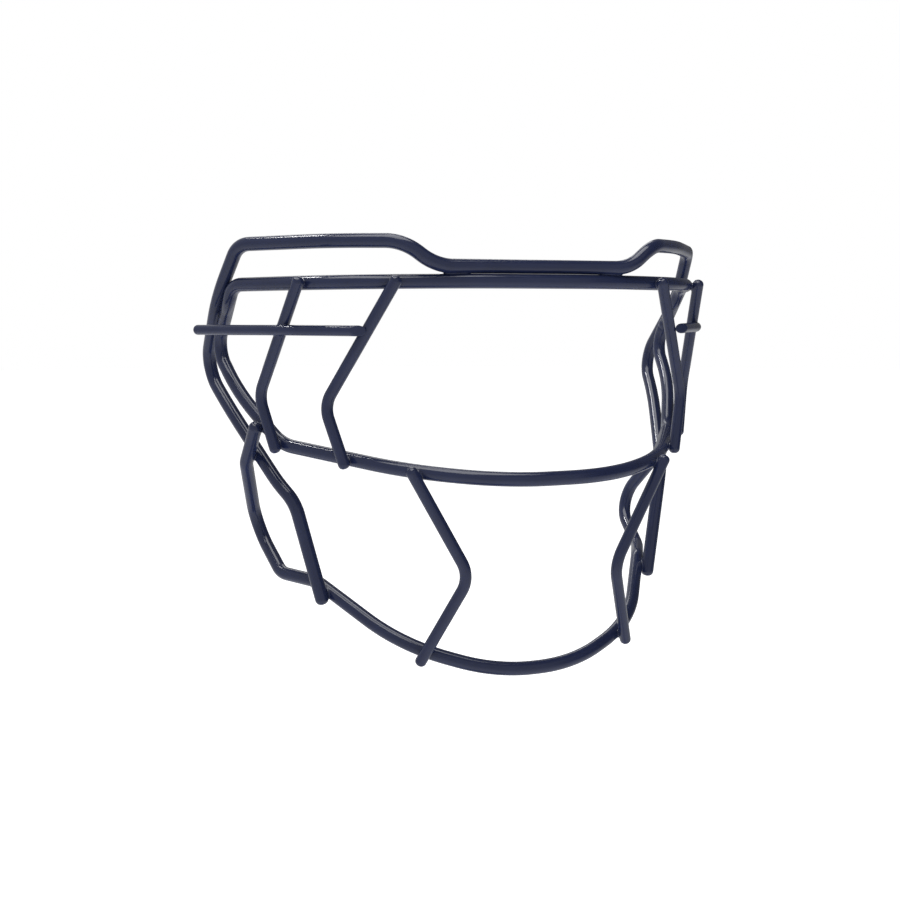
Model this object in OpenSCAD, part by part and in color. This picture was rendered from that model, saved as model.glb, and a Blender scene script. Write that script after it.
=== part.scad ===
// Wire facemask of a football helmet: long bent wires, short uprights and side bars,
// held together by weld beads where one wire lies on another.
// Frame: X across the face (+X is the wearer's left), -Y to the front, +Z up.
// Origin: the middle of the mask's outer box.
// Lengths are in millimetres.

/* [Part to draw] */

/* [Wire sizes] */
// Finished diameter of the long wires: top frame, eye ring, chin bar
main_d = 6; // [4.6:0.1:7]
// Finished diameter of the eye and mouth uprights
upright_d = 5; // [4:0.1:6]
// Finished diameter of the side bars
side_d = 4.4; // [3.6:0.1:5.6]
// Rounding at every cut wire end, as a share of the wire's radius
end_round = 0.85; // [0.3:0.05:0.95]

/* [Overall size] */
// Distance between the centre lines of the temple legs
mask_w = 234; // [210:1:250]
// Height from the middle of the chin bar to the top bar, centre to centre
mask_h = 180.5; // [160:0.5:195]
// Depth from the front of the nose bar to the rear bends, centre to centre
mask_d = 134; // [120:1:145]

/* [Brow] */
// Half width of the flat in the middle of the top bar
dip_half = 44.5; // [38:0.5:48]
// Height of the brow bar's centre line above the nose bar
brow_z = 80.5; // [76:0.5:84]

/* [Welds] */
// Radius of the weld bead where two wires cross
bead_r = 2.2; // [1.6:0.1:2.4]
// How far that bead reaches into each wire
bead_reach = 1.7; // [1:0.1:2]
// Length of the stitch weld between two wires that run side by side
stitch_l = 12; // [6:1:16]
// Radius of the stitch weld
stitch_r = 1.8; // [1.2:0.1:2.4]
// How far apart the centre lines of side bar and outer upright lie in their pressed seat
seat_step = 2.2; // [2:0.1:4.6]

/* [Hidden] */
$fn = 48;
// finer rounds for the small weld beads
weld_fn = 240;
// bends stand this much proud of the straights, as bending upsets a wire
bend_swell = 0.02;
// each straight runs this far into the bend beside it
lap = 0.25;
// the tables of bend points below are drawn for these sizes
drawn_w = 234;
drawn_h = 180.5;
drawn_d = 134;
drawn_main = 6;
drawn_upright = 5;
drawn_seat = 2.2;
// scale from the drawn size to the size asked for
fit = [mask_w / drawn_w, mask_d / drawn_d, mask_h / drawn_h];
// middle of the outer box, as the tables have it: they start level with the nose bar
home = [0, -56, 6.5];
// wires of another diameter move the uprights out by this much to stay in contact
push = (main_d - drawn_main + upright_d - drawn_upright) / 2;
// slack in the pressed seat
seat_slack = 0.02;
// weld beads along the seat's two creases
seat_l = 3.2;
seat_r = 1.1;

// ---- small helpers ----
function unit(v) = v / norm(v);
// a drawn point at the size asked for, from the part's origin
function at(v) = [for (k = [0:2]) (v[k] - home[k]) * fit[k]];
function ats(list) = [for (v = list) at(v)];
// the same points on the wearer's right, listed from the outside in
function other(list) = [for (i = [len(list) - 1:-1:0]) [-list[i][0], list[i][1], list[i][2]]];
function back(list) = [for (i = [len(list) - 1:-1:0]) list[i]];
// a whole wire from its left half
function both(list) = concat(other(list), list);
function shift(list, v) = [for (p = list) p + v];

// ---- bend points, wearer's left half, middle first, with their bend radii ----
// top frame: flat resting on the brow bar, rise, top corner, temple leg, rear bend,
// cheek leg, end on the chin bar
dip = at([0, -96, brow_z]) + [0, 0, main_d];
top_h = concat([dip + [dip_half, 0, 0]],
    ats([[57.5, -93, 96.5], [81.5, -72.5, 97], [111.5, -35, 96.5], [117, -17, 74],
         [116.5, 14, 42], [110.5, -6.5, 24.5], [96.5, -38.5, -6.5], [91, -46, -14.5],
         [80.8, -53.2, -59]]));
top_hr = [21, 19, 140, 12, 110, 13, 220, 60, 18, 0];
// eye ring: brow bar, corner, rear bend, cheek, lower corner, nose bar
brow_h = ats([[37.5, -98, brow_z], [83.5, -81, brow_z - 0.5], [112.5, -28.5, brow_z - 1]]);
brow_hr = [130, 65, 12];
rear_bend = at([114.5, -2, 51]);
nose_h = ats([[23, -120, 1], [58, -99.5, 4], [96, -44.5, 11], [109.5, -22.5, 32]]);
nose_hr = [70, 88, 22, 110];
// the two halves of the ring meet in the temple leg, this far above the rear bend
ring_joint = rear_bend + unit(brow_h[2] - rear_bend) * 14;
upper_h = concat(brow_h, [ring_joint]);
upper_hr = concat(brow_hr, [0]);
lower_h = concat(nose_h, [rear_bend, ring_joint]);
lower_hr = concat(nose_hr, [10, 0]);
// chin bar: jaw loop, two side bends, rear bend, top end outside the legs
chin_h = ats([[18, -98.5, -83.5], [55, -82.5, -72.5], [81, -43.5, -50.5], [92, -24.5, -49.5],
              [96.5, 4, -32], [107.5, -25.5, 1.5], [106, -40.5, 20]]);
chin_hr = [68, 70, 20, 12, 14, 14, 0];
// the four long wires from end to end
top_p = both(top_h);
top_r = concat(back(top_hr), top_hr);
upper_p = both(upper_h);
upper_r = concat(back(upper_hr), upper_hr);
lower_p = both(lower_h);
lower_r = concat(back(lower_hr), lower_hr);
chin_p = both(chin_h);
chin_r = concat(back(chin_hr), chin_hr);
// uprights: upper end, bend, lower end
outer_p = shift(ats([[94.7, -71.7, 82], [105.2, -42.7, 32], [99.6, -49, 7.9]]), push * [0.8, -0.6, 0]);
inner_p = shift(ats([[60.6, -95.8, 82.2], [85.2, -73.2, 29.5], [78.3, -79.6, 3.6]]), push * [0.6, -0.8, 0]);
mouth_p = shift(ats([[59.2, -104.2, 6], [33.7, -106.2, -40], [49.7, -88.5, -80]]), push * [0.6, -0.8, 0]);
outer_r = [0, 12, 0];
inner_r = [0, 12, 0];
mouth_r = [0, 14, 0];
// side bar: mitred front tip beside the inner upright, slight bow, free rear end
side_step = seat_step - drawn_seat;
side_p = shift(ats([[73.2, -91, 60.5], [100.2, -62.7, 60.5], [127, -16.5, 60]]), side_step * [0.8, -0.6, 0]);
side_r = [0, 90, 0];
// where the tip's mitre crosses the bar, and the way the mitre runs in plan
tip_at = at([75.2, -88.9, 60.5]) + side_step * [0.8, -0.6, 0];
tip_turn = 6;

// ---- wire modules ----
// straight from a to b, laid along its own axis
module along(a, b) {
    v = b - a;
    translate(a) rotate([0, acos(v[2] / norm(v)), atan2(v[1], v[0])]) children();
}

// the turn of a wire at bend i, and the length a bend takes from the straights beside it
function turn(p, i) = acos(unit(p[i] - p[i - 1]) * unit(p[i + 1] - p[i]));
function take(p, r, i) = i == 0 || i == len(p) - 1 ? 0 : r[i] * tan(turn(p, i) / 2);

// rounded end of a wire, e high
module cap(d, e) {
    rotate_extrude()
        polygon(concat([[0, 0], [d / 2, 0]],
                       [for (k = [1:6]) [d / 2 - e + e * cos(15 * k), e * sin(15 * k)]],
                       [[0, e]]));
}

// straight number i of a wire; e is the rounding at a free end
module straight(p, r, d, i, e) {
    u = unit(p[i + 1] - p[i]);
    first = i == 0;
    last = i == len(p) - 2;
    a = p[i] + u * (first ? e : take(p, r, i) - lap);
    b = p[i + 1] - u * (last ? e : take(p, r, i + 1) - lap);
    along(a, b) {
        cylinder(h = norm(b - a), d = d);
        if (last && e > 0) translate([0, 0, norm(b - a)]) cap(d, e);
        if (first && e > 0) mirror([0, 0, 1]) cap(d, e);
    }
}

// bend number i of a wire, a piece of a torus
module bend(p, r, d, i) {
    u = unit(p[i] - p[i - 1]);
    v = unit(p[i + 1] - p[i]);
    n = unit(v - u * (u * v));
    c = p[i] - u * take(p, r, i) + n * r[i];
    w = cross(-n, u);
    multmatrix([[-n[0], u[0], w[0], c[0]],
                [-n[1], u[1], w[1], c[1]],
                [-n[2], u[2], w[2], c[2]],
                [0, 0, 0, 1]])
        rotate_extrude(angle = turn(p, i))
            translate([r[i], 0]) circle(d = d + bend_swell);
}

// share is the rounding of both ends as a share of the radius, 0 for ends that butt
module wire(p, r, d, share = end_round) {
    for (i = [0:len(p) - 2]) straight(p, r, d, i, share * d / 2);
    for (i = [1:len(p) - 2]) bend(p, r, d, i);
}

// bends i to j of a long wire and the straights between them
module span(p, r, d, i, j) {
    for (k = [i:j]) bend(p, r, d, k);
    if (j > i) for (k = [i:j - 1]) straight(p, r, d, k, 0);
}

// ---- weld modules ----
// bead in the crotch of two crossing wires: p on the bar's centre line, q on the other's
module bead(p, q, d = main_d, br = bead_r, reach = bead_reach) {
    u = unit(q - p);
    c = p + u * d / 2;
    along(c - u * reach, c + u * reach) cylinder(h = 2 * reach, r = br);
}

// stitch between two wires side by side, centred on c and running along v
module stitch(c, v) {
    along(c - unit(v) * stitch_l / 2, c + unit(v) * stitch_l / 2)
        cylinder(h = stitch_l, r = stitch_r);
}

// ---- the wires ----
module top_frame() {
    color("midnightblue")
        wire(top_p, top_r, main_d);
}

module eye_ring_upper() {
    color("midnightblue")
        wire(upper_p, upper_r, main_d, 0);
}

module eye_ring_lower() {
    color("midnightblue")
        wire(lower_p, lower_r, main_d, 0);
}

module chin_bar() {
    color("midnightblue")
        wire(chin_p, chin_r, main_d);
}

// the outer upright is pressed where the side bar crosses it
module outer_upright_l() {
    color("midnightblue") difference() {
        wire(outer_p, outer_r, upright_d);
        bend(side_p, side_r, side_d + seat_slack, 1);
    }
}
module outer_upright_r() { mirror([1, 0, 0]) outer_upright_l(); }

module inner_upright_l() { color("midnightblue") wire(inner_p, inner_r, upright_d); }
module inner_upright_r() { mirror([1, 0, 0]) inner_upright_l(); }

module mouth_upright_l() { color("midnightblue") wire(mouth_p, mouth_r, upright_d); }
module mouth_upright_r() { mirror([1, 0, 0]) mouth_upright_l(); }

// plain end in front, cut to the mitre; rounded end behind
module side_bar_l() {
    color("midnightblue") difference() {
        union() {
            straight(side_p, side_r, side_d, 0, 0);
            bend(side_p, side_r, side_d, 1);
            straight(side_p, side_r, side_d, 1, end_round * side_d / 2);
        }
        translate(tip_at) rotate([0, 0, tip_turn]) translate([-10, -10, -5]) cube([20, 10, 10]);
    }
}
module side_bar_r() { mirror([1, 0, 0]) side_bar_l(); }

// ---- the welds ----
module weld_brow_l() {
    $fn = weld_fn;
    difference() {
        stitch(dip + [dip_half - 8.5, -0.1, -main_d / 2], [1, 0.04, 0]);
        straight(top_p, top_r, main_d, 9, 0);
        span(top_p, top_r, main_d, 10, 10);
        span(upper_p, upper_r, main_d, 3, 4);
    }
}
module weld_brow() {
    color("darkslateblue") {
        weld_brow_l();
        mirror([1, 0, 0]) weld_brow_l();
    }
}

module weld_temple_l() {
    $fn = weld_fn;
    color("darkslateblue") difference() {
        stitch(at([115.2, -10, 63.5]), [0, 0.69, -0.72]);
        span(top_p, top_r, main_d, 14, 15);
        straight(upper_p, upper_r, main_d, 6, 0);
    }
}
module weld_temple_r() { mirror([1, 0, 0]) weld_temple_l(); }

// collar of weld left standing round the butt joint of the ring
module weld_ring_l() {
    u = unit(brow_h[2] - rear_bend);
    color("darkslateblue") difference() {
        along(ring_joint - u * 1.2, ring_joint + u * 1.2) cylinder(h = 2.4, d = main_d + 0.6);
        along(ring_joint - u * 3, ring_joint + u * 3) cylinder(h = 6, d = main_d);
    }
}
module weld_ring_r() { mirror([1, 0, 0]) weld_ring_l(); }

module weld_outer_l() {
    $fn = weld_fn;
    color("darkslateblue") difference() {
        union() {
            bead(at([91, -66.5, 80]), at([95, -69.5, 79]));
            bead(at([96, -44, 12.5]), at([100.5, -47, 12]));
        }
        wire(outer_p, outer_r, upright_d);
        span(upper_p, upper_r, main_d, 5, 5);
        span(lower_p, lower_r, main_d, 7, 9);
    }
}
module weld_outer_r() { mirror([1, 0, 0]) weld_outer_l(); }

module weld_inner_l() {
    $fn = weld_fn;
    color("darkslateblue") difference() {
        union() {
            bead(at([60, -89.5, 80.5]), at([62, -94.5, 79]));
            bead(at([75, -75, 7]), at([79, -78, 6.5]));
        }
        wire(inner_p, inner_r, upright_d);
        span(upper_p, upper_r, main_d, 4, 5);
        span(lower_p, lower_r, main_d, 7, 8);
    }
}
module weld_inner_r() { mirror([1, 0, 0]) weld_inner_l(); }

module weld_mouth_l() {
    $fn = weld_fn;
    color("darkslateblue") difference() {
        union() {
            bead(at([53.5, -100.5, 4]), at([57, -104, 2]));
            bead(at([45, -86.5, -75]), at([47.5, -90.5, -76]));
        }
        wire(mouth_p, mouth_r, upright_d);
        span(lower_p, lower_r, main_d, 7, 7);
        span(chin_p, chin_r, main_d, 8, 8);
    }
}
module weld_mouth_r() { mirror([1, 0, 0]) weld_mouth_l(); }

module weld_side_l() {
    $fn = weld_fn;
    // crease of the pressed seat: out of the upright, along it, and along the side bar
    out = unit([0.79, -0.6, -0.14]);
    up = unit(outer_p[0] - outer_p[1]);
    run = cross(out, up);
    crease = at([99.15, -59.4, 60.8]) + out * upright_d / 2;
    color("darkslateblue") difference() {
        union() {
            for (s = [-1, 1]) {
                c = crease + up * s * (side_d / 2 + 0.4);
                along(c - run * seat_l / 2, c + run * seat_l / 2) cylinder(h = seat_l, r = seat_r);
            }
            bead(at([70.7, -86.5, 60.5]), at([74.3, -89.9, 60.5]), upright_d, 1.8, 1.5);
        }
        wire(outer_p, outer_r, upright_d);
        wire(inner_p, inner_r, upright_d);
        straight(side_p, side_r, side_d, 0, 0);
        bend(side_p, side_r, side_d, 1);
    }
}
module weld_side_r() { mirror([1, 0, 0]) weld_side_l(); }

module weld_chin_l() {
    $fn = weld_fn;
    color("darkslateblue") difference() {
        union() {
            bead(at([101, -36.5, 18.5]), at([106, -38.5, 17.5]));
            bead(at([102, -26.5, 5]), at([107.5, -28, 4.5]));
            bead(at([77, -49.5, -54]), at([82, -52.5, -54.5]));
        }
        wire(top_h, top_hr, main_d);
        wire(chin_h, chin_hr, main_d);
        span(lower_p, lower_r, main_d, 8, 9);
    }
}
module weld_chin_r() { mirror([1, 0, 0]) weld_chin_l(); }

top_frame();
eye_ring_upper();
eye_ring_lower();
chin_bar();
outer_upright_r();
outer_upright_l();
inner_upright_r();
inner_upright_l();
mouth_upright_r();
mouth_upright_l();
side_bar_r();
side_bar_l();
weld_brow();
weld_temple_r();
weld_temple_l();
weld_ring_r();
weld_ring_l();
weld_outer_r();
weld_outer_l();
weld_inner_r();
weld_inner_l();
weld_mouth_r();
weld_mouth_l();
weld_side_r();
weld_side_l();
weld_chin_r();
weld_chin_l();
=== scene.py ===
import math

import bpy
import numpy as np
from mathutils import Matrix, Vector


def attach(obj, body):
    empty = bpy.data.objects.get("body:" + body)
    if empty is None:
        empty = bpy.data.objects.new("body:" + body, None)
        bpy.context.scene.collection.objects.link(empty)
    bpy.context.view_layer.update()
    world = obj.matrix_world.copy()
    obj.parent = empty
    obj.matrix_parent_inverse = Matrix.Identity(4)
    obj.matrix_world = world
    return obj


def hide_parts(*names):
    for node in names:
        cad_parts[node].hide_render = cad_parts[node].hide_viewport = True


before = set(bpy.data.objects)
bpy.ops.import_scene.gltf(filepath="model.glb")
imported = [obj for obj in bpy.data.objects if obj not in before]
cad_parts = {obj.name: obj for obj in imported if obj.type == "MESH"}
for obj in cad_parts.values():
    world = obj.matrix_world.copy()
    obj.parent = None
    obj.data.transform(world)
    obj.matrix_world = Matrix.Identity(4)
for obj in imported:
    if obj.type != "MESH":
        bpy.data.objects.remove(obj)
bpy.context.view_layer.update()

# Wire facemask of a football helmet. Lengths in the tables are millimetres, as in the CAD part.
MM = 0.001

# ---------------------------------------------------------------- sizes
MAIN_R, UPRIGHT_R, SIDE_R = 6 / 2, 5 / 2, 4.4 / 2
HOME = np.array([0.0, -56.0, 6.5])   # the part's origin, in the tables' own numbers
ROUND = 48               # sides of a wire
ARC_STEP = math.radians(2.5)

END_ROUND = 0.85         # rounding of a cut end, as a share of the wire's radius
TIP_BREAK = 0.5          # rounding round the side bar's mitred tip
END_RINGS = 10           # rings in that rounding
DOME = 0.05              # how far a cut end's face stands out in the middle
END_GAP = 0.1            # plain wire between the rounding and the first full ring

# bend points of the left half, middle first, and their bend radii
TOP = [(44.5, -96, 86.5), (57.5, -93, 96.5), (81.5, -72.5, 97), (111.5, -35, 96.5),
       (117, -17, 74), (116.5, 14, 42), (110.5, -6.5, 24.5), (96.5, -38.5, -6.5),
       (91, -46, -14.5), (80.8, -53.2, -59)]
TOP_R = [21, 19, 140, 12, 110, 13, 220, 60, 18, 0]
BROW = [(37.5, -98, 80.5), (83.5, -81, 80), (112.5, -28.5, 79.5)]
BROW_R = [130, 65, 12]
REAR_BEND, REAR_BEND_R = (114.5, -2, 51), 10
NOSE = [(23, -120, 1), (58, -99.5, 4), (96, -44.5, 11), (109.5, -22.5, 32)]
NOSE_R = [70, 88, 22, 110]
CHIN = [(18, -98.5, -83.5), (55, -82.5, -72.5), (81, -43.5, -50.5), (92, -24.5, -49.5),
        (96.5, 4, -32), (107.5, -25.5, 1.5), (106, -40.5, 20)]
CHIN_R = [68, 70, 20, 12, 14, 14, 0]
OUTER, OUTER_R = [(94.7, -71.7, 82), (105.2, -42.7, 32), (99.6, -49, 7.9)], [0, 12, 0]
INNER, INNER_R = [(60.6, -95.8, 82.2), (85.2, -73.2, 29.5), (78.3, -79.6, 3.6)], [0, 12, 0]
MOUTH, MOUTH_R = [(59.2, -104.2, 6), (33.7, -106.2, -40), (49.7, -88.5, -80)], [0, 14, 0]
SIDE, SIDE_BEND = [(75.2, -88.9, 60.5), (100.2, -62.7, 60.5), (127, -16.5, 60)], [0, 90, 0]
TIP_NORMAL = (0.105, -0.994, 0.0)    # the side bar's front end is cut square to this
TIP_CORE = 1.9           # how far core() stops short of that slanted tip, in wire radii
RING_JOINT = 14.0        # butt joint of the eye ring, above its rear bend

# where the left half's wires are welded: two wires (* is the side), a point near the crossing,
# and the size of the fillet
WELDS = {
    "outer": [("eye_ring_upper", "outer_upright*", (93, -68, 79.5), 2.0),
              ("eye_ring_lower", "outer_upright*", (98.5, -45.5, 12), 2.0)],
    "inner": [("eye_ring_upper", "inner_upright*", (61, -92, 79.8), 2.0),
              ("eye_ring_lower", "inner_upright*", (77, -76.5, 6.8), 2.0)],
    "mouth": [("eye_ring_lower", "mouth_upright*", (55.3, -102.3, 3), 2.0),
              ("chin_bar", "mouth_upright*", (46.2, -88.4, -75.5), 2.0)],
    "side": [("outer_upright*", "side_bar*", (100, -60, 60.6), 0.8),
             ("inner_upright*", "side_bar*", (72.6, -87.3, 60.2), 1.5)],
    "chin": [("eye_ring_lower", "chin_bar", (103.6, -37.4, 18), 2.0),
             ("top_frame", "chin_bar", (104.5, -27, 4.9), 2.0),
             ("top_frame", "chin_bar", (79.5, -51, -54.2), 2.0)],
}
STITCH = 14              # length of the stitches at temple and brow
TEMPLE_WELD, TEMPLE_BLEND = (115.2, -10, 63.5), 2.0
BROW_WELD, BROW_BLEND = (36, -96.1, 83.3), 1.8

NET_STEP = 0.27          # grid of the fillets' surface
FILLET_ROOM = 5.5        # space round a fillet, beyond its size
FILLET_ROOT = 0.45       # how deep a fillet's root lies in the wires
FILLET_EDGE = 0.008      # how far its thin edges lie under the wires' surface
LUMPS = 0.06             # unevenness of a fillet, as a share of its size
SLOPE_STEP = 0.02        # step for a field's gradient

# thin collar over the ring's butt joint
COLLAR_HALF, COLLAR_H, COLLAR_RINGS = 2.2, 0.26, 15
COLLAR_SINK = 0.02       # its edges lie this far under the wire's surface


# ---------------------------------------------------------------- routes
def unit(v):
    return v / np.linalg.norm(v)


def placed(table):
    return [np.array(p, float) - HOME for p in table]


def mirrored(points):
    return [p * (-1, 1, 1) for p in points]


def both(points, radii):
    """The whole wire from its left half."""
    return mirrored(points)[::-1] + points, radii[::-1] + radii


def route(points, radii):
    """The centre line: straights with a true arc at each bend point."""
    line = [points[0]]
    for i in range(1, len(points) - 1):
        u, v = unit(points[i] - points[i - 1]), unit(points[i + 1] - points[i])
        turn = math.acos(max(-1.0, min(1.0, float(u @ v))))
        n = unit(v - u * (u @ v))
        c = points[i] - u * radii[i] * math.tan(turn / 2) + n * radii[i]
        steps = max(2, math.ceil(turn / ARC_STEP))
        for k in range(steps + 1):
            a = turn * k / steps
            line.append(c + radii[i] * (u * math.sin(a) - n * math.cos(a)))
    line.append(points[-1])
    return np.array(line)


brow, nose = placed(BROW), placed(NOSE)
rear_bend = placed([REAR_BEND])[0]
leg = unit(brow[2] - rear_bend)
joint = rear_bend + leg * RING_JOINT
# every wire's centre line and radius
lines = {
    "top_frame": (route(*both(placed(TOP), TOP_R)), MAIN_R),
    "eye_ring_upper": (route(*both(brow + [joint], BROW_R + [0])), MAIN_R),
    "eye_ring_lower": (route(*both(nose + [rear_bend, joint], NOSE_R + [REAR_BEND_R, 0])), MAIN_R),
    "chin_bar": (route(*both(placed(CHIN), CHIN_R)), MAIN_R),
}
for name, table, radii, r in (("outer_upright", OUTER, OUTER_R, UPRIGHT_R),
                              ("inner_upright", INNER, INNER_R, UPRIGHT_R),
                              ("mouth_upright", MOUTH, MOUTH_R, UPRIGHT_R),
                              ("side_bar", SIDE, SIDE_BEND, SIDE_R)):
    lines[name + "_l"] = (route(placed(table), radii), r)
    lines[name + "_r"] = (route(mirrored(placed(table)), radii), r)


# ---------------------------------------------------------------- meshes
def new_piece(name, verts, faces, material, *nodes, slot="coated_wire", normals=None):
    mesh = bpy.data.meshes.new(name)
    mesh.from_pydata([tuple(v) for v in np.asarray(verts) * MM], [], faces)
    mesh.shade_smooth()
    if normals is not None:
        mesh.normals_split_custom_set_from_vertices(normals)
    mesh.materials.append(material)
    obj = bpy.data.objects.new(name, mesh)
    bpy.context.scene.collection.objects.link(obj)
    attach(obj, "root")
    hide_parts(*nodes)
    return obj


def frames(line):
    """Tangents and a pair of side vectors that never twist round the wire."""
    t = np.gradient(line, axis=0)
    t[0], t[-1] = line[1] - line[0], line[-1] - line[-2]
    t /= np.linalg.norm(t, axis=1)[:, None]
    e = unit(np.cross(t[0], (0, 0, 1) if abs(t[0][2]) < 0.9 else (1, 0, 0)))
    sides = []
    for k in range(len(line)):
        e = unit(e - t[k] * (e @ t[k]))
        sides.append((e, np.cross(t[k], e)))
    return t, sides


def circle(centre, radius, e, f):
    """One ring of a wire's points, in the plane of e and f."""
    angles = np.linspace(0, 2 * math.pi, ROUND, endpoint=False)
    return centre + radius * (np.cos(angles)[:, None] * e + np.sin(angles)[:, None] * f)


def skin(rings, tips):
    """Closed mesh over a row of rings, with a point to close each end."""
    verts = np.concatenate(rings + [np.array(tips)])
    last = (len(rings) - 1) * ROUND
    faces = []
    for k in range(len(rings) - 1):
        a, b = k * ROUND, (k + 1) * ROUND
        for i in range(ROUND):
            j = (i + 1) % ROUND
            faces.append((a + i, a + j, b + j, b + i))
    for i in range(ROUND):
        j = (i + 1) % ROUND
        faces.append((len(verts) - 2, j, i))
        faces.append((len(verts) - 1, last + i, last + j))
    return verts, faces


def end_rings(p, out, e, f, r, normal, rounding):
    """Rings that round a cut end off, from the full radius to a slightly domed face, and the
    middle of that face."""
    rings = []
    for k in range(END_RINGS):
        a = math.pi / 2 * k / (END_RINGS - 1)
        rings.append((r - rounding + rounding * math.cos(a), rounding * (math.sin(a) - 1)))
    rings += [((r - rounding) * q, DOME * (1 - q * q)) for q in (0.66, 0.33)]
    made = []
    for radius, depth in rings:
        ring = circle(p, radius, e, f)
        slide = -((ring - p) @ normal) / (out @ normal)
        made.append(ring + (slide + depth)[:, None] * out)
    return made, p + out * DOME


def tube(line, r, open_ends=False, start_normal=None):
    """A wire: a ring at every point of its centre line, and rounded or plain ends."""
    t, sides = frames(line)
    at = line.copy()
    if not open_ends:
        normal = -t[0] if start_normal is None else np.array(start_normal)
        first = END_ROUND * r if start_normal is None else TIP_BREAK
        lean = r * math.tan(math.acos(min(1.0, float(-t[0] @ normal))))
        at[0] = line[0] + t[0] * (first + lean + END_GAP)
        at[-1] = line[-1] - t[-1] * (END_ROUND * r + END_GAP)
    rings = [circle(p, r, e, f) for p, (e, f) in zip(at, sides)]
    if open_ends:
        return skin(rings, (line[0], line[-1]))
    head, head_tip = end_rings(line[0], -t[0], *sides[0], r, normal, first)
    tail, tail_tip = end_rings(line[-1], t[-1], *sides[-1], r, t[-1], END_ROUND * r)
    return skin(head[::-1] + rings + tail, (head_tip, tail_tip))


def collar(centre, along):
    """A low swelling of metal and coating round a wire."""
    offsets = np.linspace(-COLLAR_HALF, COLLAR_HALF, COLLAR_RINGS)
    line = np.array([centre + along * s for s in offsets])
    _, sides = frames(line)
    heights = [COLLAR_H * math.cos(math.pi / 2 * s / COLLAR_HALF) ** 2 for s in offsets]
    rings = [circle(p, MAIN_R - COLLAR_SINK + h, e, f)
             for p, (e, f), h in zip(line, sides, heights)]
    return skin(rings, (line[0], line[-1]))


# ---------------------------------------------------------------- weld fillets
def core(name):
    """A wire's centre line, stopped short at its free ends so that a ball of the wire's own
    radius rolled along it stays inside the wire."""
    line, r = lines[name]
    if name.startswith("eye_ring"):
        return line
    first = TIP_CORE * r if name.startswith("side_bar") else r
    return np.concatenate([[line[0] + unit(line[1] - line[0]) * first], line[1:-1],
                           [line[-1] + unit(line[-2] - line[-1]) * r]])


def to_line(points, line):
    """Distance of each point to a centre line."""
    best = np.full(len(points), 1e9)
    for a, b in zip(line[:-1], line[1:]):
        ab = b - a
        s = np.clip((points - a) @ ab / (ab @ ab), 0, 1)
        best = np.minimum(best, np.linalg.norm(points - a - s[:, None] * ab, axis=1))
    return best


def near(line, c, reach):
    """The stretch of a centre line within reach of c, cut from its longer straights."""
    fine = [line[0]]
    for a, b in zip(line[:-1], line[1:]):
        n = max(1, math.ceil(np.linalg.norm(b - a) / 4))
        fine += [a + (b - a) * k / n for k in range(1, n + 1)]
    fine = np.array(fine)
    keep = np.flatnonzero(np.linalg.norm(fine - c, axis=1) < reach)
    return fine[max(0, keep[0] - 1):keep[-1] + 2]


def foot(line, c):
    """The point of a centre line nearest to c."""
    best = None
    for p, q in zip(line[:-1], line[1:]):
        s = np.clip((c - p) @ (q - p) / ((q - p) @ (q - p)), 0, 1)
        x = p + s * (q - p)
        if best is None or np.linalg.norm(c - x) < np.linalg.norm(c - best):
            best = x
    return best


def contact(a, b, about):
    """Where wires a and b come closest near a point: between the centre lines, in
    proportion to the wires' radii."""
    c = np.array(about, float) - HOME
    share = lines[a][1] / (lines[a][1] + lines[b][1])
    for _ in range(4):
        foot_a, foot_b = [foot(near(lines[w][0], c, 12), c) for w in (a, b)]
        c = foot_a + (foot_b - foot_a) * share
    return c


def nets(values, low, step):
    """Closed quad surface where a sampled field changes sign (naive surface nets)."""
    inside = values < 0
    total = np.zeros(tuple(n - 1 for n in values.shape) + (3,))
    count = np.zeros(total.shape[:3])
    grid = np.stack(np.meshgrid(*[np.arange(n) for n in values.shape], indexing="ij"), -1)
    grid = grid.astype(float)
    faces = []
    number = np.arange(count.size).reshape(count.shape)
    for axis in range(3):
        v, ins, g = [np.moveaxis(x, axis, 0) for x in (values, inside, grid)]
        cross = ins[:-1] != ins[1:]
        with np.errstate(divide="ignore", invalid="ignore"):
            t = np.where(cross, v[:-1] / (v[:-1] - v[1:]), 0)
        at = np.where(cross[..., None], g[:-1] + (g[1:] - g[:-1]) * t[..., None], 0)
        tot, cnt = np.moveaxis(total, axis, 0), np.moveaxis(count, axis, 0)
        for p in (0, 1):
            for q in (0, 1):
                part = (slice(None), slice(1 - p, cross.shape[1] - p), slice(1 - q, cross.shape[2] - q))
                tot += at[part]
                cnt += cross[part]
        num = np.moveaxis(number, axis, 0)
        i, j, k = np.nonzero(cross[:, 1:-1, 1:-1])
        ring = np.stack([num[i, j, k], num[i, j + 1, k], num[i, j + 1, k + 1], num[i, j, k + 1]], 1)
        flip = ins[:-1][:, 1:-1, 1:-1][i, j, k]
        if axis == 1:
            flip = ~flip
        ring[~flip] = ring[~flip][:, ::-1]
        faces.append(ring)
    faces = np.concatenate(faces)
    used, where = np.unique(faces, return_inverse=True)
    verts = (total / np.maximum(count, 1)[..., None]).reshape(-1, 3)[used]
    return low + verts * step, where.reshape(faces.shape)


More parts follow.
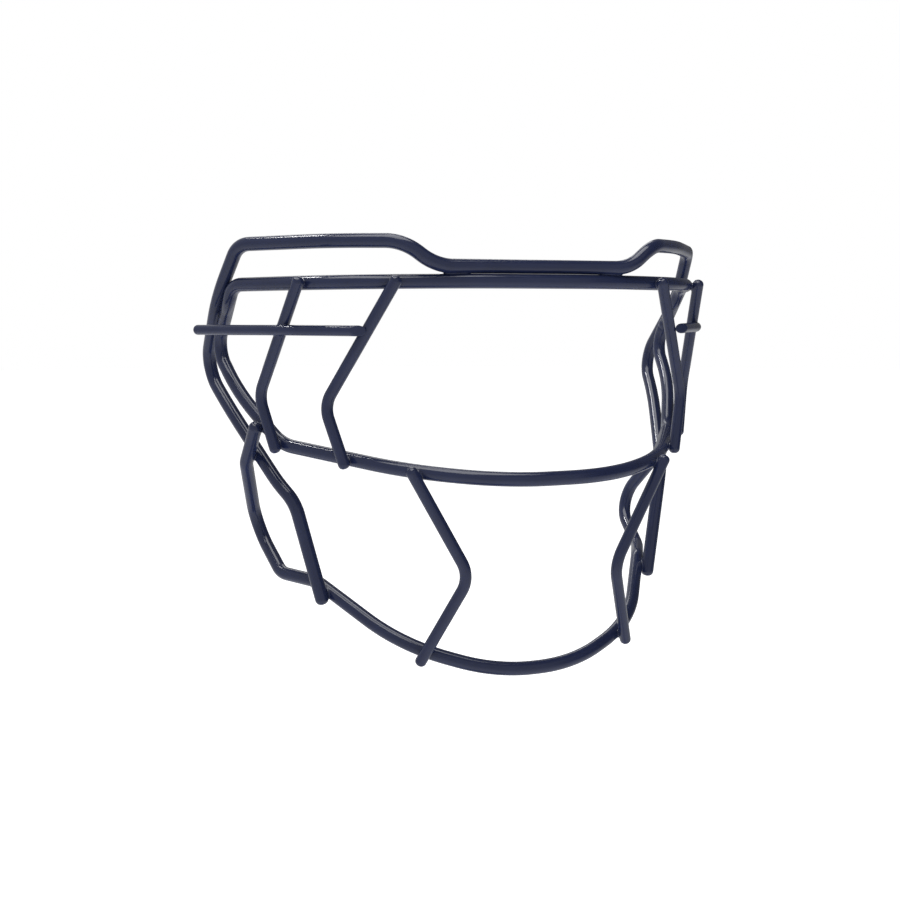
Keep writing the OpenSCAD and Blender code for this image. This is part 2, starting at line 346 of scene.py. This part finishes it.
def fillet(a, b, c, blend, along=None):
    """The fused metal and coating in the crotch of wires a and b near c, as a closed piece.
    It is the part of a smooth union of the two wires that lies outside both, with a thin root
    sunk into them. Where along is given it fades out along a stitch in that direction."""
    reach = (0 if along is None else STITCH / 2) + blend + FILLET_ROOM
    la, lb = near(core(a), c, reach + 4), near(core(b), c, reach + 4)

    def field(p):
        da, db = to_line(p, la) - lines[a][1], to_line(p, lb) - lines[b][1]
        k = np.full(len(p), float(blend))
        if along is not None:
            s = np.abs((p - c) @ along) / (STITCH / 2)
            k = blend * np.clip(1.5 * (1 - s * s), 0.02, 1)
        lumps = 1 + LUMPS * np.sin(p @ (2.1, 1.3, 0.7) + c[0]) * np.sin(p @ (-0.9, 1.7, 1.9) + c[2])
        k = k * lumps
        h = np.clip(1 - np.abs(da - db) / k, 0, 1)
        low = np.minimum(da, db)
        return np.maximum.reduce([low - h ** 3 * k / 6 + FILLET_EDGE, -(low + FILLET_ROOT),
                                  np.abs(da - db) - k, np.linalg.norm(p - c, axis=1) - reach + 1])

    def gradient(p):
        return np.stack([field(p + d) - field(p - d) for d in np.eye(3) * SLOPE_STEP], 1)

    n = int(2 * reach / NET_STEP) + 2
    axes = [c[k] - reach + NET_STEP * np.arange(n) for k in range(3)]
    points = np.stack(np.meshgrid(*axes, indexing="ij"), -1).reshape(-1, 3)
    # only the points near both wires are worked out in full
    values = np.full(len(points), 3.0)
    rough = np.maximum(to_line(points, la[::2] if len(la) > 6 else la) - lines[a][1],
                       to_line(points, lb[::2] if len(lb) > 6 else lb) - lines[b][1])
    pick = rough < blend + 0.5
    values[pick] = field(points[pick])
    verts, faces = nets(values.reshape(n, n, n), c - reach, NET_STEP)
    for _ in range(3):   # pull the net onto the true surface
        f, g = field(verts), gradient(verts) / (2 * SLOPE_STEP)
        move = -(f / np.maximum((g * g).sum(1), 0.2))[:, None] * g
        size = np.linalg.norm(move, axis=1)[:, None]
        verts = verts + move * np.minimum(1, 0.4 * NET_STEP / np.maximum(size, 1e-9))
    g = gradient(verts)
    return verts, faces, g / np.maximum(np.linalg.norm(g, axis=1)[:, None], 1e-9)


def weld(name, joints):
    """One piece for all the fillets of a weld node."""
    verts, faces, normals, start = [], [], [], 0
    for a, b, about, *how in joints:
        v, f, n = fillet(a, b, contact(a, b, about), *how)
        verts.append(v)
        normals.append(n)
        faces += [tuple(int(i) + start for i in q) for q in f]
        start += len(v)
    return new_piece("bead_" + name, np.concatenate(verts), faces, shaded_bead_coat, "weld_" + name,
                     slot="coated_weld", normals=np.concatenate(normals))


# ---------------------------------------------------------------- materials
def coating(name, base, rough, bump):
    """Smooth dipped coating: an even navy with faint clouding, a satin gloss that varies a
    little, and the soft unevenness of a sprayed and baked film."""
    m = bpy.data.materials.new(name)
    m.use_nodes = True
    nodes, links = m.node_tree.nodes, m.node_tree.links
    nodes.clear()
    out = nodes.new("ShaderNodeOutputMaterial")
    shader = nodes.new("ShaderNodeBsdfPrincipled")
    links.new(shader.outputs[0], out.inputs[0])
    place = nodes.new("ShaderNodeTexCoord").outputs["Object"]

    def noise(scale, detail, roughness=0.5):
        n = nodes.new("ShaderNodeTexNoise")
        n.inputs["Scale"].default_value = scale
        n.inputs["Detail"].default_value = detail
        n.inputs["Roughness"].default_value = roughness
        links.new(place, n.inputs["Vector"])
        return n.outputs["Fac"]

    def spread(value, low, high):
        r = nodes.new("ShaderNodeMapRange")
        r.inputs["From Min"].default_value, r.inputs["From Max"].default_value = 0.3, 0.7
        r.inputs["To Min"].default_value, r.inputs["To Max"].default_value = low, high
        links.new(value, r.inputs["Value"])
        return r.outputs["Result"]

    def uneven(scale, height):
        n = nodes.new("ShaderNodeBump")
        n.inputs["Strength"].default_value = bump
        n.inputs["Distance"].default_value = height
        links.new(noise(scale, 1), n.inputs["Height"])
        return n

    clouds = nodes.new("ShaderNodeMix")
    clouds.data_type = "RGBA"
    clouds.inputs[6].default_value = (*[v * 0.9 for v in base], 1)
    clouds.inputs[7].default_value = (*[v * 1.1 for v in base], 1)
    links.new(spread(noise(55, 3), 0, 1), clouds.inputs[0])
    links.new(clouds.outputs[2], shader.inputs["Base Color"])
    links.new(spread(noise(140, 4, 0.6), rough - 0.03, rough + 0.04), shader.inputs["Roughness"])
    peel, sag = uneven(650, 0.00004), uneven(130, 0.00012)
    links.new(peel.outputs[0], sag.inputs["Normal"])
    links.new(sag.outputs[0], shader.inputs["Normal"])
    shader.inputs["IOR"].default_value = 1.5
    return m


wire_coat = coating("navy_coating", (0.0115, 0.0168, 0.050), 0.17, 0.03)
# The weld coating is the wire's navy made a little darker: painted shade for the dark crotches where
# the wires meet. The ring collars use it too.
shaded_bead_coat = coating("navy_coating_on_weld_painted_shade", (0.0105, 0.0155, 0.047), 0.18, 0.05)

# ---------------------------------------------------------------- the mask
for name, (line, r) in lines.items():
    normal = None
    if name.startswith("side_bar"):
        normal = np.array(TIP_NORMAL) * ((1, 1, 1) if name.endswith("_l") else (-1, 1, 1))
    verts, faces = tube(line, r, name.startswith("eye_ring"), normal)
    new_piece("wire_" + name, verts, faces, wire_coat, name)

for side, flip in (("_l", np.array([1, 1, 1])), ("_r", np.array([-1, 1, 1]))):
    for name, crossings in WELDS.items():
        weld(name + side, [(a.replace("*", side), b.replace("*", side), flip * about, blend)
                           for a, b, about, blend in crossings])
    weld("temple" + side, [("eye_ring_upper", "top_frame", flip * TEMPLE_WELD, TEMPLE_BLEND,
                            leg * flip)])
    verts, faces = collar(joint * flip, leg * flip)
    new_piece("bead_ring" + side, verts, faces, shaded_bead_coat, "weld_ring" + side, slot="coated_weld")

weld("brow", [("eye_ring_upper", "top_frame", BROW_WELD * np.array([sx, 1, 1]), BROW_BLEND,
               np.array([1.0, 0, 0])) for sx in (1, -1)])


# ---------------------------------------------------------------- studio
FLOOR_Z, FLOOR_R, FLOOR_SIDES = -0.35, 8.0, 96


def pale_floor():
    """A wide pale floor well below the mask, lit so evenly that it runs into the white
    background. Its glow keeps out of the mask's reflections, which see the world instead."""
    turns = [2 * math.pi * i / FLOOR_SIDES for i in range(FLOOR_SIDES)]
    mesh = bpy.data.meshes.new("floor")
    mesh.from_pydata([(FLOOR_R * math.cos(a), FLOOR_R * math.sin(a), FLOOR_Z) for a in turns], [],
                     [tuple(range(FLOOR_SIDES))])
    m = bpy.data.materials.new("pale_floor")
    m.use_nodes = True
    shader = m.node_tree.nodes["Principled BSDF"]
    shader.inputs["Base Color"].default_value = (0.9, 0.9, 0.9, 1)
    shader.inputs["Roughness"].default_value = 0.9
    shader.inputs["Emission Color"].default_value = (1, 1, 1, 1)
    shader.inputs["Emission Strength"].default_value = 0.9
    mesh.materials.append(m)
    obj = bpy.data.objects.new("floor", mesh)
    bpy.context.scene.collection.objects.link(obj)
    obj.visible_glossy = False
    return obj


floor = pale_floor()


def studio_world():
    """White where the camera looks at it. What the object sees is a pale room with a white
    floor, a darker wall on the wearer's left and a dark ceiling round the overhead softbox."""
    world = bpy.data.worlds.new("studio")
    world.use_nodes = True
    nodes, links = world.node_tree.nodes, world.node_tree.links
    sky = nodes["Background"]
    way = nodes.new("ShaderNodeTexCoord").outputs["Generated"]

    def maths(kind, a, b):
        n = nodes.new("ShaderNodeMath")
        n.operation = kind
        for socket, v in zip(n.inputs, (a, b)):
            if isinstance(v, (int, float)):
                socket.default_value = v
            else:
                links.new(v, socket)
        return n.outputs[0]

    def fade(value, low, high, from_, to):
        n = nodes.new("ShaderNodeMapRange")
        n.interpolation_type = "SMOOTHSTEP"
        n.inputs["From Min"].default_value, n.inputs["From Max"].default_value = low, high
        n.inputs["To Min"].default_value, n.inputs["To Max"].default_value = from_, to
        links.new(value, n.inputs["Value"])
        return n.outputs["Result"]

    def towards(azimuth):
        n = nodes.new("ShaderNodeVectorMath")
        n.operation = "DOT_PRODUCT"
        a = math.radians(azimuth)
        n.inputs[1].default_value = (math.sin(a), -math.cos(a), 0)
        links.new(way, n.inputs[0])
        return n.outputs["Value"]

    split = nodes.new("ShaderNodeSeparateXYZ")
    links.new(way, split.inputs[0])
    up = split.outputs[2]
    ramp = nodes.new("ShaderNodeValToRGB")
    # brightness of the room from straight down (-1) to straight up (1)
    stops = [(-1.0, 0.06), (-0.985, 0.12), (-0.95, 0.78), (-0.7, 0.8), (-0.4, 0.64), (-0.2, 0.53),
             (0.0, 0.48), (0.5, 0.48), (0.7, 0.44), (0.82, 0.2), (1.0, 0.12)]
    while len(ramp.color_ramp.elements) < len(stops):
        ramp.color_ramp.elements.new(0.5)
    for e, (z, v) in zip(ramp.color_ramp.elements, stops):
        e.position = (z + 1) / 2
        e.color = (v, v, v, 1)
    links.new(maths("MULTIPLY", maths("ADD", up, 1.0), 0.5), ramp.inputs[0])
    dark_wall = maths("MULTIPLY", fade(towards(98), 0.3, 0.7, 0, 0.8), fade(up, -0.3, 0.0, 0, 1))
    behind = fade(towards(165), 0.2, 1.0, 1, 1.35)
    walls = maths("MULTIPLY", ramp.outputs[0], maths("SUBTRACT", 1.0, dark_wall))
    room = maths("MULTIPLY", walls, behind)
    seen = nodes.new("ShaderNodeLightPath").outputs["Is Camera Ray"]
    strength = maths("ADD", maths("MULTIPLY", maths("SUBTRACT", 1.0, seen), room), seen)
    links.new(strength, sky.inputs["Strength"])
    sky.inputs["Color"].default_value = (1, 1, 1, 1)
    bpy.context.scene.world = world


def direction(azimuth, elevation):
    """Unit vector from the mask to a place at an azimuth and elevation in degrees."""
    a, e = math.radians(azimuth), math.radians(elevation)
    return Vector((math.sin(a) * math.cos(e), -math.cos(a) * math.cos(e), math.sin(e)))


def area(name, at, width, height, power):
    """A rectangular softbox aimed at the mask and hidden from the camera."""
    light = bpy.data.lights.new(name, "AREA")
    light.shape = "RECTANGLE"
    light.size, light.size_y = width, height
    light.energy = power
    obj = bpy.data.objects.new(name, light)
    obj.location = at
    obj.rotation_euler = (-Vector(at)).to_track_quat("-Z", "Y").to_euler()
    obj.visible_camera = False
    bpy.context.scene.collection.objects.link(obj)


studio_world()
# softbox overhead, a small bright key high behind the wearer's right, a low strip behind
LIGHT_DISTANCE = 1.7
area("overhead", (-0.2, -0.1, 1.28), 1.0, 1.2, 15)
area("key", direction(-136, 56) * LIGHT_DISTANCE, 0.18, 0.18, 5)
area("back_strip", direction(165, 39) * LIGHT_DISTANCE, 0.85, 0.25, 2)
bpy.context.scene.view_settings.view_transform = "Standard"

# ---------------------------------------------------------------- camera
CAMERA_DISTANCE = 0.6312
target = Vector((0.0, 0.05616, -0.00666))
toward = direction(-21.8, 6.47)
cam = bpy.data.cameras.new("camera")
cam.lens, cam.sensor_width = 51.26, 36.0
camera = bpy.data.objects.new("camera", cam)
camera.location = target + toward * CAMERA_DISTANCE
camera.rotation_euler = (-toward).to_track_quat("-Z", "Y").to_euler()
bpy.context.scene.collection.objects.link(camera)
bpy.context.scene.camera = camera
